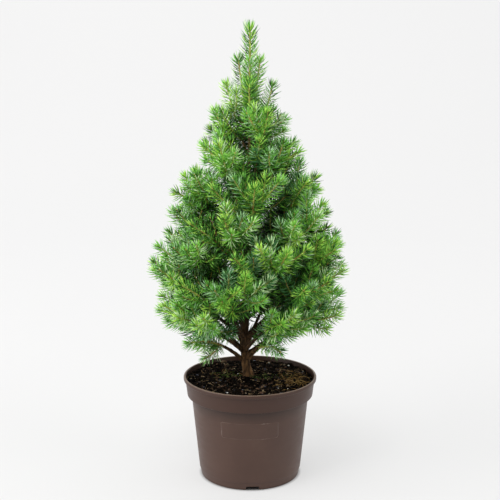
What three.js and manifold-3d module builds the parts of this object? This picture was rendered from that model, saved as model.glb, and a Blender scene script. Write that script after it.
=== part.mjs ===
// A dwarf Alberta spruce in a round nursery pot, in millimetres, +Z up.
// The origin is the middle of the pot's flat underside.  -Y is the front.
import * as THREE from "three";
import { mergeVertices } from "three/addons/utils/BufferGeometryUtils.js";
import Module from "manifold-3d";

const wasm = await Module();
wasm.setup();

// ---------------------------------------------------------------- driving dimensions

const CLEAR = 0.3; // the space between pieces that touch
const SLIVER = 0.05; // edges shorter than this are closed up where shapes are joined

const POT = {
  height: 115.3,
  rimRadius: 75, // outside of the rolled lip
  lipHeight: 4,
  collarTop: 73,
  collarFoot: 71,
  collarDrop: 21.4, // from the lip's top to the collar's lower edge
  wallTop: 66.2,
  wallFoot: 57.7,
  footHeight: 9,
  footStep: 0.6,
  baseRadius: 55.7,
  skin: 1.6, // wall and floor
  segments: 40,
};
const DRAIN = { count: 4, firstBearing: -87, width: 15, height: 4.6, inner: 22, hole: 4, holeAt: 40 };

const SOIL = { edge: 109, mound: 112.7, moundFlat: 12, moundFoot: 46, lump: 1.6 };

const TRUNK = {
  foot: new THREE.Vector3(-2, 7, SOIL.mound + CLEAR),
  tip: 424, // where the leader's last year of growth starts
  top: 505, // the tree's very top
  bowOut: 114,
  bowFade: 0.1,
  radius: 4.8,
  tipRadius: 1.6,
  flare: 1.7,
  flareFade: 6,
  lobes: 3,
  lobeDepth: 0.2,
};

// The tiers of the tree from the lowest up.  Each launches from the trunk, and its foliage ends rise mm higher.
// bow is the height of a bough's middle control point as a share of its rise: under 0.5 it curves up.  bare is
// the share of its line that is a bough of its own, and where there is none the foliage starts at the trunk.
const TIERS = [
  { name: "skirt", count: 4, turn: 20, launch: 129, rise: 30, bow: 1.2, bare: 0.42 },
  { name: "low", count: 5, turn: 0, launch: 138, rise: 56, bow: 0.7, bare: 0.42 },
  { name: "broad", count: 5, turn: 180, launch: 156, rise: 76, bow: 0.52, bare: 0.42 },
  { name: "waist", count: 5, turn: -3, launch: 179, rise: 84, bow: 0.46 },
  { name: "middle", count: 5, turn: 180, launch: 205, rise: 92, bow: 0.44 },
  { name: "shoulder", count: 4, turn: 0, launch: 238, rise: 94, bow: 0.44 },
  { name: "upper", count: 4, turn: 48, launch: 276, rise: 94, bow: 0.42 },
  { name: "high", count: 3, turn: 180, launch: 322, rise: 84, bow: 0.42 },
  { name: "crest", count: 4, turn: 0, launch: 362, rise: 72, bow: 0.4 },
  { name: "spire", count: 3, turn: 150, launch: 396, rise: 62, bow: 0.35 },
];

// How far the needle tips reach from the axis of the tree, as [height, reach].
const OUTLINE = [
  [130, 60], [150, 78], [190, 108], [232, 115], [262, 108], [292, 97],
  [330, 81], [370, 59], [410, 44], [436, 33], [460, 19], [480, 12], [505, 8],
];
const AXIS = new THREE.Vector2(-0.5, 3); // the axis that the outline and the sectors go round

const BOUGH = {
  radius: 2.4,
  tipRadius: 1.7,
  sides: 6,
  bands: 3,
  bearingPlay: 8, // degrees
  heightPlay: 3,
  reachPlay: 0.05,
};
// A mass ends in shoot tips that are dealt over its part of the crown's face.
const DEAL = {
  area: 1230, // how much of the face one tip covers
  heights: [0.35, 0.7, 0.5, 0.8, 0.3, 0.6], // of tips side by side, as shares of the face's height
  shifts: [0, 0.2, -0.2, 0.4, -0.4], // of a tip that doesn't fit, one after another
  play: 0.12,
  inward: 0.08, // how much shorter than the outline a tip may fall
  apart: 17, // between tips
  beside: 8, // from the neighbouring mass's space
  from: 0.05, // where the first side shoots leave, as a share of the stem beyond its bare foot
  upTo: 0.9,
  step: 0.03, // between the places on the stem that are tried
  leave: 44, // degrees between a side shoot and the stem it leaves
  outward: 0.16, // how far a side shoot bends outwards, as a share of its length
};
const SHOOT = {
  sides: 3,
  rootRadius: 1.1,
  tipRadius: 0.7,
  band: 13, // the length of shoot that carries one ring of needles
  bareBand: 50,
  needled: 46, // how far down from its tip a shoot carries needles
  sag: 0.1, // how far a shoot hangs below its chord on its way up, as a share of its length
  shortest: 12,
  point: 2, // the length of its bud
  probes: [0.3, 0.5, 0.7, 0.85, 1], // where its path is tested against the mass's space
};
const NEEDLE = {
  length: 14,
  lengths: [1, 0.6], // shares of the length to try in turn, where a needle would run into something
  lengthPlay: 0.08,
  rootSpread: 66, // degrees from the shoot at the foot of its needled stretch
  tipSpread: 36,
  play: 0.9,
  apart: 2.6, // from needles of other shoots
  fromCore: 3.4, // from the middle of other shoots
  probes: [0.35, 0.65, 0.95], // where along it that is tested
  inside: 0.8, // how much of its length the crown's outline keeps for it beyond a shoot's tip
};
// A mass's space lies between slanted floors that stand at a share of the way from the tier line below.
const SPACE = { margin: 0.8, core: 2, under: 0.6, lowest: 136, skirtDrop: 14 };
// The leader's needles keep to a column that widens from its foot.
const COLUMN = { foot: 4.5, top: 10.4, from: 430, to: 462, beside: 3.4 };

// ---------------------------------------------------------------- small helpers

const UP = new THREE.Vector3(0, 0, 1);
const radians = THREE.MathUtils.degToRad;
const lerp = THREE.MathUtils.lerp;

// A number from 0 to 1 that depends only on its whole-number keys.
const SEED = 15;
function chance(...keys) {
  let h = SEED;
  for (const key of keys) {
    h = Math.imul(h ^ (key + 0x9e3779b9), 0x85ebca6b);
    h ^= h >>> 13;
    h = Math.imul(h, 0xc2b2ae35);
    h ^= h >>> 16;
  }
  return (h >>> 0) / 2 ** 32;
}
const spread = (...keys) => 2 * chance(...keys) - 1; // from -1 to 1

function along(table, at) {
  let i = 1;
  while (i < table.length - 1 && table[i][0] < at) i++;
  const [[x0, y0], [x1, y1]] = [table[i - 1], table[i]];
  return lerp(y0, y1, THREE.MathUtils.clamp((at - x0) / (x1 - x0), 0, 1));
}

function solidOf(geometry) {
  const bare = geometry.clone();
  bare.deleteAttribute("normal");
  bare.deleteAttribute("uv");
  const merged = mergeVertices(bare, 1e-4);
  return new wasm.Manifold(
    new wasm.Mesh({
      numProp: 3,
      vertProperties: merged.attributes.position.array,
      triVerts: new Uint32Array(merged.index.array),
    }),
  );
}

function geometryOf(solid) {
  const mesh = solid.getMesh();
  const geometry = new THREE.BufferGeometry();
  geometry.setAttribute("position", new THREE.BufferAttribute(new Float32Array(mesh.vertProperties), 3));
  geometry.setIndex(new THREE.BufferAttribute(new Uint32Array(mesh.triVerts), 1));
  return geometry;
}

// The one body that is left when slivers and loose scraps are dropped and sealed hollows filled.
function wholeOf(solid) {
  const bodies = solid.simplify(SLIVER).decompose();
  return bodies.reduce((most, body) => (body.volume() > most.volume() ? body : most));
}

function trianglesToGeometry(triangles) {
  const geometry = new THREE.BufferGeometry();
  const corners = triangles.flat().flatMap((point) => point.toArray());
  geometry.setAttribute("position", new THREE.Float32BufferAttribute(corners, 3));
  return mergeVertices(geometry, 1e-4);
}

// ---------------------------------------------------------------- limbs and shoots

// The skin round a path: rings of corners at the stops, a flat cut at the start, and a flat cut or a point at
// the end.  needleTip gives the point that a facet is drawn out to, or nothing where the facet stays flat.
function limbGeometry({ pathAt, stops, radiusAt, sides, twist = 0, pointed = 0, needleTip }) {
  const toward = pathAt(stops.at(-1)).sub(pathAt(stops[0])).normalize();
  const aside = Math.abs(toward.z) < 0.9 ? UP : new THREE.Vector3(0, 1, 0);
  const rings = stops.map((at, i) => {
    const centre = pathAt(at);
    const tangent = pathAt(at + 0.01).sub(pathAt(at - 0.01)).normalize();
    const across = new THREE.Vector3().crossVectors(aside, tangent).normalize();
    const over = new THREE.Vector3().crossVectors(tangent, across);
    const corners = Array.from({ length: sides }, (_, j) => {
      const angle = (2 * Math.PI * j) / sides + i * twist;
      const radius = radiusAt(at);
      return centre
        .clone()
        .addScaledVector(across, radius * Math.cos(angle))
        .addScaledVector(over, radius * Math.sin(angle));
    });
    return { at, centre, tangent, corners };
  });
  const triangles = [];
  const facet = (foot, ring, a, b, c) => {
    const tip = needleTip && needleTip(foot, ring, a, b, c);
    if (tip) triangles.push([a, b, tip], [b, c, tip], [c, a, tip]);
    else triangles.push([a, b, c]);
  };
  for (let i = 0; i + 1 < rings.length; i++) {
    const [lower, upper] = [rings[i], rings[i + 1]];
    for (let j = 0; j < sides; j++) {
      const k = (j + 1) % sides;
      facet(lower.at, lower, lower.corners[j], lower.corners[k], upper.corners[j]);
      facet(lower.at, upper, lower.corners[k], upper.corners[k], upper.corners[j]);
    }
  }
  const [first, last] = [rings[0], rings.at(-1)];
  const end = last.centre.clone().addScaledVector(last.tangent, pointed);
  for (let j = 0; j < sides; j++) {
    const k = (j + 1) % sides;
    triangles.push([first.centre, first.corners[k], first.corners[j]]);
    facet(last.at, last, end, last.corners[j], last.corners[k]);
  }
  return trianglesToGeometry(triangles);
}

// Ring places from one share of a path to another, about mm apart.
function stopsAlong(from, to, length, mm) {
  const bands = Math.max(1, Math.round(((to - from) * length) / mm));
  return Array.from({ length: bands }, (_, i) => lerp(from, to, i / bands));
}

// Whether a needle runs through another shoot's core or into a needle that already stands.
function runsInto(needle, shoot, shoots) {
  const probes = NEEDLE.probes.map((share) => needle.at(share, new THREE.Vector3()));
  const nearest = new THREE.Vector3();
  const near = (line, gap) =>
    probes.some((probe) => line.closestPointToPoint(probe, true, nearest).distanceTo(probe) < gap);
  return shoots.some(
    (other) =>
      other !== shoot &&
      (other.core.some((line) => near(line, NEEDLE.fromCore)) ||
        other.needles.some((line) => near(line, NEEDLE.apart))),
  );
}

// A shoot with its needles: a slim core whose outer facets are drawn out into forward-swept needles.
function shootSolid(shoot, shoots, fits) {
  const { pathAt, from, length, radiusAt, key } = shoot;
  const leafy = Math.max(from, 1 - SHOOT.needled / length);
  const bareStops = leafy > from ? stopsAlong(from, leafy, length, SHOOT.bareBand) : [];
  const stops = [...bareStops, ...stopsAlong(leafy, 1, length, SHOOT.band), 1];
  let count = 0;
  const needleTip = (foot, ring, a, b, c) => {
    count += 1;
    if (foot < leafy) return null;
    const middle = new THREE.Vector3().add(a).add(b).add(c).divideScalar(3);
    const out = middle.clone().sub(ring.centre);
    out.addScaledVector(ring.tangent, -out.dot(ring.tangent)).normalize();
    const sweep = radians(lerp(NEEDLE.rootSpread, NEEDLE.tipSpread, (ring.at - leafy) / (1 - leafy)));
    for (const share of NEEDLE.lengths) {
      const reach = share * NEEDLE.length * (1 - NEEDLE.lengthPlay * chance(key, count, 1));
      const tip = middle
        .clone()
        .addScaledVector(ring.tangent, reach * Math.cos(sweep))
        .addScaledVector(out, reach * Math.sin(sweep));
      tip.x += NEEDLE.play * spread(key, count, 2);
      tip.y += NEEDLE.play * spread(key, count, 3);
      tip.z += NEEDLE.play * spread(key, count, 4);
      const needle = new THREE.Line3(middle, tip);
      if (!fits(tip, SPACE.margin) || runsInto(needle, shoot, shoots)) continue;
      shoot.needles.push(needle);
      return tip;
    }
    return null;
  };
  const { sides, point: pointed } = SHOOT;
  return solidOf(limbGeometry({ pathAt, stops, radiusAt, needleTip, sides, twist: Math.PI / sides, pointed }));
}

// What the rule for a shoot works on: its path, and the core and needles that others keep clear of.
function newShoot({ pathAt, from = 0, length, radiusAt, key }) {
  const stops = [...stopsAlong(from, 1, length, SHOOT.band), 1];
  const core = stops.slice(1).map((at, i) => new THREE.Line3(pathAt(stops[i]), pathAt(at)));
  return { pathAt, from, length, radiusAt, key, core, needles: [] };
}

// ---------------------------------------------------------------- trunk

function trunkAt(z) {
  const t = (z - TRUNK.foot.z) / (TRUNK.top - TRUNK.foot.z);
  const x = TRUNK.foot.x * (1 - t) - TRUNK.bowOut * t * Math.exp(-t / TRUNK.bowFade);
  const y = TRUNK.foot.y * (1 - t) * (1 - t);
  return new THREE.Vector3(x, y, z);
}

function trunkRadius(z, angle = null) {
  const up = z - TRUNK.foot.z;
  const taper = lerp(TRUNK.radius, TRUNK.tipRadius, Math.min(1, up / (TRUNK.tip - TRUNK.foot.z)));
  const flare = Math.exp(-up / TRUNK.flareFade);
  const lobes = angle === null ? 1 : 1 + TRUNK.lobeDepth * flare * Math.cos(TRUNK.lobes * angle + 1);
  return (taper + TRUNK.flare * flare) * lobes;
}

// A trunk of stacked level rings, so that its foot is a flat cut.  grow makes the space round it.
function trunkSolid(grow = 0) {
  const sides = 12;
  const heights = [0, 2, 5, 9, 14, 22, 34, 50, 75, 105, 140, 180, 225, 270].map((up) => TRUNK.foot.z + up);
  heights.push(TRUNK.tip + grow);
  const rings = heights.map((z) =>
    Array.from({ length: sides }, (_, j) => {
      const angle = (2 * Math.PI * j) / sides;
      const radius = trunkRadius(z, angle) + grow;
      return trunkAt(z).add(new THREE.Vector3(radius * Math.cos(angle), radius * Math.sin(angle), 0));
    }),
  );
  const triangles = [];
  const [foot, tip] = [trunkAt(heights[0]), trunkAt(heights.at(-1))];
  for (let j = 0; j < sides; j++) {
    const k = (j + 1) % sides;
    triangles.push([foot, rings[0][k], rings[0][j]], [tip, rings.at(-1)[j], rings.at(-1)[k]]);
    for (let i = 0; i + 1 < rings.length; i++) {
      const [lower, upper] = [rings[i], rings[i + 1]];
      triangles.push([lower[j], lower[k], upper[j]], [lower[k], upper[k], upper[j]]);
    }
  }
  return solidOf(trianglesToGeometry(triangles));
}

// ---------------------------------------------------------------- boughs and the spaces of their foliage

const outlineReach = (z) => along(OUTLINE, z);
const columnRadius = (z) => along([[COLUMN.from, COLUMN.foot], [COLUMN.to, COLUMN.top]], z);
const polar = (point) => ({
  reach: Math.hypot(point.x - AXIS.x, point.y - AXIS.y),
  bearing: Math.atan2(point.y - AXIS.y, point.x - AXIS.x),
});
const onBearing = (bearing, reach, height) =>
  new THREE.Vector3(AXIS.x + reach * Math.cos(bearing), AXIS.y + reach * Math.sin(bearing), height);

// The height of a tier's straight line from launch to tip, at a distance from the axis.
function tierLine(tier, reach) {
  const tipHeight = tier.launch + tier.rise;
  return tier.launch + (tier.rise * reach) / outlineReach(tipHeight);
}

function floorOf(level, reach) {
  const line = tierLine(TIERS[level], reach);
  if (level === 0) return Math.max(SPACE.lowest, line - SPACE.skirtDrop);
  return lerp(tierLine(TIERS[level - 1], reach), line, SPACE.under);
}

// Whether a point keeps to the sector of one bough, between its tier's floor and the next one.
function fitsSector(level, bearing, point, margin) {
  const here = polar(point);
  const half = Math.PI / TIERS[level].count;
  const off = Math.abs(Math.atan2(Math.sin(here.bearing - bearing), Math.cos(here.bearing - bearing)));
  if (off > half || Math.sin(Math.min(half - off, Math.PI / 2)) * here.reach < margin) return false;
  if (point.z < floorOf(level, here.reach) + margin) return false;
  if (level + 1 < TIERS.length && point.z > floorOf(level + 1, here.reach) - margin) return false;
  const trunk = trunkAt(point.z);
  const fromTrunk = Math.hypot(point.x - trunk.x, point.y - trunk.y);
  return fromTrunk > margin + (point.z > TRUNK.tip ? columnRadius(point.z) : trunkRadius(point.z));
}

// One bough's line from the trunk's middle to the tip of its foliage.
function boughLine(level, index) {
  const tier = TIERS[level];
  const bearing = radians(tier.turn + (360 * index) / tier.count);
  const swing = radians(BOUGH.bearingPlay * spread(level, index, 1));
  const height = tier.launch + BOUGH.heightPlay * spread(level, index, 2);
  const tipHeight = height + tier.rise;
  const reach = Math.max(
    outlineReach(tipHeight) * (1 - BOUGH.reachPlay * chance(level, index, 3)) - NEEDLE.length * NEEDLE.inside,
    columnRadius(tipHeight) + COLUMN.beside,
  );
  const start = trunkAt(height);
  const tip = onBearing(bearing + swing, reach, tipHeight);
  const middle = start.clone().lerp(tip, 0.5);
  middle.z = height + tier.rise * tier.bow;
  const curve = new THREE.QuadraticBezierCurve3(start, middle, tip);
  return { level, index, bearing, pathAt: (t) => curve.getPoint(t), length: curve.getLength() };
}

function boughSolid(line, trunkSpace) {
  const { bare } = TIERS[line.level];
  const end = bare - CLEAR / line.length;
  const stops = Array.from({ length: BOUGH.bands + 1 }, (_, i) => (i / BOUGH.bands) * end);
  const radiusAt = (t) => lerp(BOUGH.radius, BOUGH.tipRadius, t / bare);
  const geometry = limbGeometry({ pathAt: line.pathAt, stops, radiusAt, sides: BOUGH.sides });
  return wholeOf(solidOf(geometry).subtract(trunkSpace));
}

// The height where a tier's floor comes out through the crown's face.
function faceHeight(level) {
  if (level === TIERS.length) return COLUMN.to;
  let height = SPACE.lowest;
  while (height < TRUNK.top && height < floorOf(level, outlineReach(height))) height += 1;
  return height;
}

// The places of a mass's shoot tips, dealt evenly over its part of the crown's face.  Each is a few places at
// other heights to try in turn.
function tipPlaces(line) {
  const { level, index, bearing } = line;
  const [low, high] = [faceHeight(level), faceHeight(level + 1)];
  const half = Math.PI / TIERS[level].count;
  const width = 2 * half * outlineReach((low + high) / 2);
  const count = Math.max(2, Math.round((width * (high - low)) / DEAL.area));
  return Array.from({ length: count }, (_, number) => {
    const dealt = DEAL.heights[number % DEAL.heights.length] + DEAL.play * spread(level, index, number, 1);
    return DEAL.shifts.map((shift) => {
      const height = lerp(low, high, dealt + shift);
      const inside = outlineReach(height) - NEEDLE.length * NEEDLE.inside;
      const reach = inside * (1 - DEAL.inward * chance(level, index, number, 2));
      const side = half - Math.min(half / 2, DEAL.beside / reach);
      const share = (number + 0.5 + DEAL.play * spread(level, index, number, 3)) / count;
      return onBearing(bearing + lerp(-side, side, share), reach, height);
    });
  });
}

// A side shoot leaves the stem where it can reach its tip at the plant's branching angle.
function sideShoot(line, leafy, tip, key) {
  let best = { miss: Infinity };
  for (let t = leafy; t < DEAL.upTo; t += DEAL.step) {
    const root = line.pathAt(t);
    const tangent = line.pathAt(t + 0.01).sub(line.pathAt(t - 0.01));
    const miss = Math.abs(tangent.angleTo(tip.clone().sub(root)) - radians(DEAL.leave));
    if (miss < best.miss) best = { miss, root };
  }
  const chord = best.root.distanceTo(tip);
  const outward = onBearing(polar(tip).bearing, 1, 0).sub(onBearing(0, 0, 0));
  const middle = best.root.clone().lerp(tip, 0.5);
  middle.z -= SHOOT.sag * chord;
  middle.addScaledVector(outward, -DEAL.outward * chord);
  const curve = new THREE.QuadraticBezierCurve3(best.root, middle, tip);
  return newShoot({
    pathAt: (t) => curve.getPoint(t),
    length: curve.getLength(),
    radiusAt: (t) => lerp(SHOOT.rootRadius, SHOOT.tipRadius, t),
    key,
  });
}

// Whether a side shoot keeps to its mass's space and clear of the shoots that are there.
function standsFree(shoot, shoots, fits) {
  if (shoot.length < SHOOT.shortest) return false;
  const ownSpace = SHOOT.probes.every((t) => fits(shoot.pathAt(t), SPACE.core));
  const tip = shoot.pathAt(1);
  return ownSpace && shoots.every((other) => other.pathAt(1).distanceTo(tip) > DEAL.apart);
}

function massSolid(line, trunkSpace) {
  const { level, index, bearing } = line;
  const fits = (point, margin) => fitsSector(level, bearing, point, margin);
  const from = TIERS[level].bare ?? 0;
  const stemRadius = (t) => lerp(BOUGH.tipRadius, SHOOT.tipRadius, (t - from) / (1 - from));
  const key = 1000 * (level + 1) + 100 * index;
  const stem = newShoot({ pathAt: line.pathAt, from, length: line.length, radiusAt: stemRadius, key });
  const shoots = [stem];
  tipPlaces(line).forEach((places, number) => {
    const tries = places.map((tip) => sideShoot(line, from + DEAL.from, tip, key + number + 1));
    const shoot = tries.find((one) => standsFree(one, shoots, fits));
    if (shoot) shoots.push(shoot);
  });
  const solids = shoots.map((shoot) => shootSolid(shoot, shoots, fits));
  return wholeOf(wasm.Manifold.union(solids).subtract(trunkSpace));
}

function leaderSolid() {
  const base = TRUNK.tip + CLEAR;
  const end = TRUNK.top - NEEDLE.length;
  const fits = (point, margin) => {
    const trunk = trunkAt(point.z);
    return Math.hypot(point.x - trunk.x, point.y - trunk.y) < columnRadius(point.z) - margin / 2;
  };
  const leader = newShoot({
    pathAt: (t) => trunkAt(lerp(base, end, t)),
    length: end - base,
    radiusAt: (t) => lerp(TRUNK.tipRadius, SHOOT.tipRadius, t),
    key: 77,
  });
  return shootSolid(leader, [leader], fits);
}

// ---------------------------------------------------------------- pot and soil

function latheSolid(profile, segments = POT.segments) {
  const geometry = new THREE.LatheGeometry(profile.map(([r, z]) => new THREE.Vector2(r, z)), segments);
  geometry.rotateX(Math.PI / 2);
  const solid = solidOf(geometry);
  return solid.volume() < 0 ? solidOf(flipped(geometry)) : solid;
}

function flipped(geometry) {
  const turned = geometry.clone();
  const order = turned.index.array;
  for (let i = 0; i < order.length; i += 3) [order[i + 1], order[i + 2]] = [order[i + 2], order[i + 1]];
  return turned;
}

// A bar from the axis outwards at a bearing, used for the drain channels and their ridges.
function spoke(bearing, inner, outer, width, low, high) {
  const geometry = new THREE.BoxGeometry(outer - inner, width, high - low);
  geometry.translate((inner + outer) / 2, 0, (low + high) / 2);
  geometry.rotateZ(radians(bearing));
  return solidOf(geometry);
}

const drainBearings = Array.from(
  { length: DRAIN.count },
  (_, i) => DRAIN.firstBearing + (360 * i) / DRAIN.count,
);
const innerProfile = [
  [POT.baseRadius - POT.skin, POT.skin],
  [POT.wallFoot - POT.footStep - POT.skin, POT.footHeight],
  [POT.wallTop - POT.skin, POT.height - POT.collarDrop + POT.skin],
  [POT.collarFoot - POT.skin, POT.height - POT.collarDrop + POT.skin],
];

function potSolid() {
  const lipLow = POT.height - POT.lipHeight;
  const collarLow = POT.height - POT.collarDrop;
  const profile = [
    [0, 0],
    [POT.baseRadius - 1, 0],
    [POT.baseRadius, 1],
    [POT.wallFoot - POT.footStep, POT.footHeight],
    [POT.wallFoot, POT.footHeight + 0.5],
    [POT.wallTop, collarLow],
    [POT.collarFoot, collarLow],
    [POT.collarTop, lipLow],
    [POT.rimRadius, lipLow + 0.6],
    [POT.rimRadius, POT.height - 0.8],
    [POT.rimRadius - 1.2, POT.height],
    ...innerProfile.slice().reverse(),
    [0, POT.skin],
  ];
  let pot = latheSolid(profile);
  const roof = DRAIN.height + POT.skin;
  const ridge = DRAIN.width + 2 * POT.skin;
  for (const bearing of drainBearings) {
    pot = pot.add(spoke(bearing, DRAIN.inner - POT.skin, POT.baseRadius, ridge, POT.skin / 4, roof));
  }
  for (const bearing of drainBearings) {
    pot = pot.subtract(spoke(bearing, DRAIN.inner, POT.rimRadius, DRAIN.width, -1, DRAIN.height));
    const hole = new THREE.CylinderGeometry(DRAIN.hole, DRAIN.hole, 3 * POT.skin, 12);
    hole.rotateX(Math.PI / 2);
    hole.translate(DRAIN.holeAt, 0, roof - POT.skin / 2);
    hole.rotateZ(radians(bearing));
    pot = pot.subtract(solidOf(hole));
  }
  return wholeOf(pot);
}

// The top of the potting soil: a low mound round the trunk's foot, with lumps.
function soilTop(x, y, key) {
  const away = Math.hypot(x - TRUNK.foot.x, y - TRUNK.foot.y);
  const down = THREE.MathUtils.smoothstep(away, SOIL.moundFlat, SOIL.moundFoot);
  const lump = away > SOIL.moundFlat ? SOIL.lump * chance(500, key) : 0;
  return lerp(SOIL.mound, SOIL.edge + SOIL.lump, down) - lump;
}

function soilSolid() {
  const floor = POT.skin + CLEAR;
  const shelf = POT.height - POT.collarDrop + POT.skin + CLEAR;
  const edge = POT.collarTop - POT.skin - CLEAR - 0.6;
  const sides = [
    [0, floor],
    [innerProfile[0][0] - CLEAR, floor],
    [innerProfile[1][0] - CLEAR, innerProfile[1][1]],
    [innerProfile[2][0] - CLEAR, shelf - 0.1],
    [innerProfile[3][0] - CLEAR, shelf],
  ];
  const topRings = [edge, 58, 44, 31, 19, 9, 0].map((radius) => [radius, SOIL.edge]);
  const geometry = new THREE.LatheGeometry(
    [...sides, ...topRings].map(([r, z]) => new THREE.Vector2(r, z)),
    POT.segments,
  );
  geometry.rotateX(Math.PI / 2);
  const position = geometry.attributes.position;
  const across = sides.length + topRings.length;
  for (let i = 0; i < position.count; i++) {
    const ring = i % across;
    if (ring < sides.length) continue;
    const column = Math.floor(i / across) % POT.segments;
    const key = ring === across - 1 ? 0 : ring * POT.segments + column;
    position.setZ(i, soilTop(position.getX(i), position.getY(i), key));
  }
  let soil = solidOf(geometry);
  if (soil.volume() < 0) soil = solidOf(flipped(geometry));
  for (const bearing of drainBearings) {
    const width = DRAIN.width + 2 * (POT.skin + CLEAR);
    const roof = DRAIN.height + POT.skin + CLEAR;
    soil = soil.subtract(spoke(bearing, DRAIN.inner - POT.skin - CLEAR, POT.rimRadius, width, -1, roof));
  }
  return wholeOf(soil);
}

// ---------------------------------------------------------------- the part

const plastic = new THREE.MeshStandardMaterial({ color: 0x58453d, roughness: 0.55, metalness: 0 });
const peat = new THREE.MeshStandardMaterial({ color: 0x2a1d14, roughness: 0.95, metalness: 0 });
const bark = new THREE.MeshStandardMaterial({ color: 0x4a3325, roughness: 0.9, metalness: 0 });
const needles = new THREE.MeshStandardMaterial({ color: 0x4f8a3c, roughness: 0.6, metalness: 0 });

const part = new THREE.Group();
function place(name, solid, material) {
  const mesh = new THREE.Mesh(geometryOf(solid), material);
  mesh.name = name;
  part.add(mesh);
}

place("pot", potSolid(), plastic);
place("soil", soilSolid(), peat);
place("trunk", trunkSolid(), bark);
const trunkSpace = trunkSolid(CLEAR);
TIERS.forEach((tier, level) => {
  for (let index = 0; index < tier.count; index++) {
    const line = boughLine(level, index);
    if (tier.bare) place(`${tier.name}_bough_${index + 1}`, boughSolid(line, trunkSpace), bark);
    place(`${tier.name}_mass_${index + 1}`, massSolid(line, trunkSpace), needles);
  }
});
place("leader_mass", leaderSolid(), needles);

export default part;
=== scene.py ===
"""The looks of a dwarf Alberta spruce in a round nursery pot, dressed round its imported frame.

Lengths are in millimetres, as in the part's source, and become metres where a mesh is made.
Only the lights and the camera are placed in metres.
The frame's origin is the middle of the pot's flat underside, with -Y to the front and +Z up.
"""

import math
from collections import namedtuple
from types import SimpleNamespace as Sizes

import bmesh
import bpy
import numpy as np
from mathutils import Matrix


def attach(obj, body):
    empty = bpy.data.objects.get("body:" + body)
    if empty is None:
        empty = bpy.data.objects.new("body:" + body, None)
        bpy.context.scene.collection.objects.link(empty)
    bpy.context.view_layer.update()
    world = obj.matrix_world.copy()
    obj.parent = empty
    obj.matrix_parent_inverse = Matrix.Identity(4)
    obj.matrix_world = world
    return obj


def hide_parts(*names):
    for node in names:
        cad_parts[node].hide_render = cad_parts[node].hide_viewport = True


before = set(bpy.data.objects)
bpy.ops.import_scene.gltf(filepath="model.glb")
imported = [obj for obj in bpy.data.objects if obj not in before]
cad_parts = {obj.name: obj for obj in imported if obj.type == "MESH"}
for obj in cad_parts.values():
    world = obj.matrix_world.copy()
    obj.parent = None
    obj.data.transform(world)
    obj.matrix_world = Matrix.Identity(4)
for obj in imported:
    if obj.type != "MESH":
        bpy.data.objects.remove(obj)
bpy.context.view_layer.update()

MM = 0.001  # metres in a millimetre
SEED = 15
GOLDEN = math.radians(137.5)  # the angle between one needle and the next round a shoot
THIRD = 2 * math.pi / 3
UP = np.array([0.0, 0.0, 1.0])
ASKEW = np.array([0.31, 0.87, 0.38])  # a direction that no shoot grows in

# ------ sizes that the part's source has

POT = Sizes(
    height=115.3,
    rim=75.0,
    lip=4.0,
    collar_top=73.0,
    collar_foot=71.0,
    collar_drop=21.4,
    wall_top=66.2,
    wall_foot=57.7,
    foot=9.0,
    foot_step=0.6,
    base=55.7,
    skin=1.6,
)
COLLAR_LOW = POT.height - POT.collar_drop
LIP_LOW = POT.height - POT.lip
DRAIN = Sizes(count=4, first=-87, width=15, height=4.6, inner=22, hole=4, hole_at=40)
FLOOR = DRAIN.height + POT.skin
SOIL = Sizes(edge=110.6, mound=112.7, mound_flat=12.0, mound_foot=46.0)
TRUNK = Sizes(
    foot=(-2.0, 7.0, 113.0),
    tip=424.0,
    top=505.0,
    bow_out=114.0,
    bow_fade=0.1,
    radius=4.8,
    tip_radius=1.6,
    flare=1.7,
    flare_fade=6.0,
    lobes=3,
    lobe_depth=0.2,
)
# The tiers of boughs from the lowest up: how many, how far turned, the height where they leave the trunk,
# how far they rise, how much they bow, and the share of a bough that is bare.
Tier = namedtuple("Tier", "name count turn launch rise bow bare")
TIERS = [
    Tier("skirt", 4, 20, 129, 30, 1.2, 0.42),
    Tier("low", 5, 0, 138, 56, 0.7, 0.42),
    Tier("broad", 5, 180, 156, 76, 0.52, 0.42),
    Tier("waist", 5, -3, 179, 84, 0.46, 0),
    Tier("middle", 5, 180, 205, 92, 0.44, 0),
    Tier("shoulder", 4, 0, 238, 94, 0.44, 0),
    Tier("upper", 4, 48, 276, 94, 0.42, 0),
    Tier("high", 3, 180, 322, 84, 0.42, 0),
    Tier("crest", 4, 0, 362, 72, 0.4, 0),
    Tier("spire", 3, 150, 396, 62, 0.35, 0),
]
OUTLINE_HEIGHTS = [130, 150, 190, 232, 262, 292, 330, 370, 410, 436, 460, 480, 505]
OUTLINE_REACHES = [60, 78, 108, 115, 108, 97, 81, 59, 44, 33, 19, 12, 8]
AXIS = np.array([-0.5, 3.0])
BOUGH = Sizes(radius=2.4, tip_radius=1.7, bearing_play=8, height_play=3, reach_play=0.05)
DEAL = Sizes(
    area=1230,
    heights=[0.35, 0.7, 0.5, 0.8, 0.3, 0.6],
    shifts=[0, 0.2, -0.2, 0.4, -0.4],
    play=0.12,
    inward=0.08,
    apart=17,
    beside=8,
    start=0.05,
    up_to=0.9,
    step=0.03,
    leave=44,
    outward=0.16,
)
SHOOT = Sizes(
    root_radius=0.95,
    tip_radius=0.7,
    sag=0.1,
    shortest=12,
    probes=[0.3, 0.5, 0.7, 0.85, 1],
)
SOURCE_NEEDLE = 14 * 0.8  # what the source keeps for needles beyond a shoot's tip
SPACE = Sizes(core=2, under=0.6, lowest=136, skirt_drop=14)
COLUMN = Sizes(foot=4.5, top=10.4, low=430, high=462, beside=3.4)

# ------ sizes of what is finer than the source

ONWARD = 6  # how far the last growth of a shoot runs on past the source's
# Low at the front, where no shoot ends, so that the trunk shows there.
WINDOW = Sizes(middle=-4, half=16, top=200, front=-50)
LEADER = Sizes(key=61, onward=3.5, tip_radius=1.1, brush=(0.78, 1.18))

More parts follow.
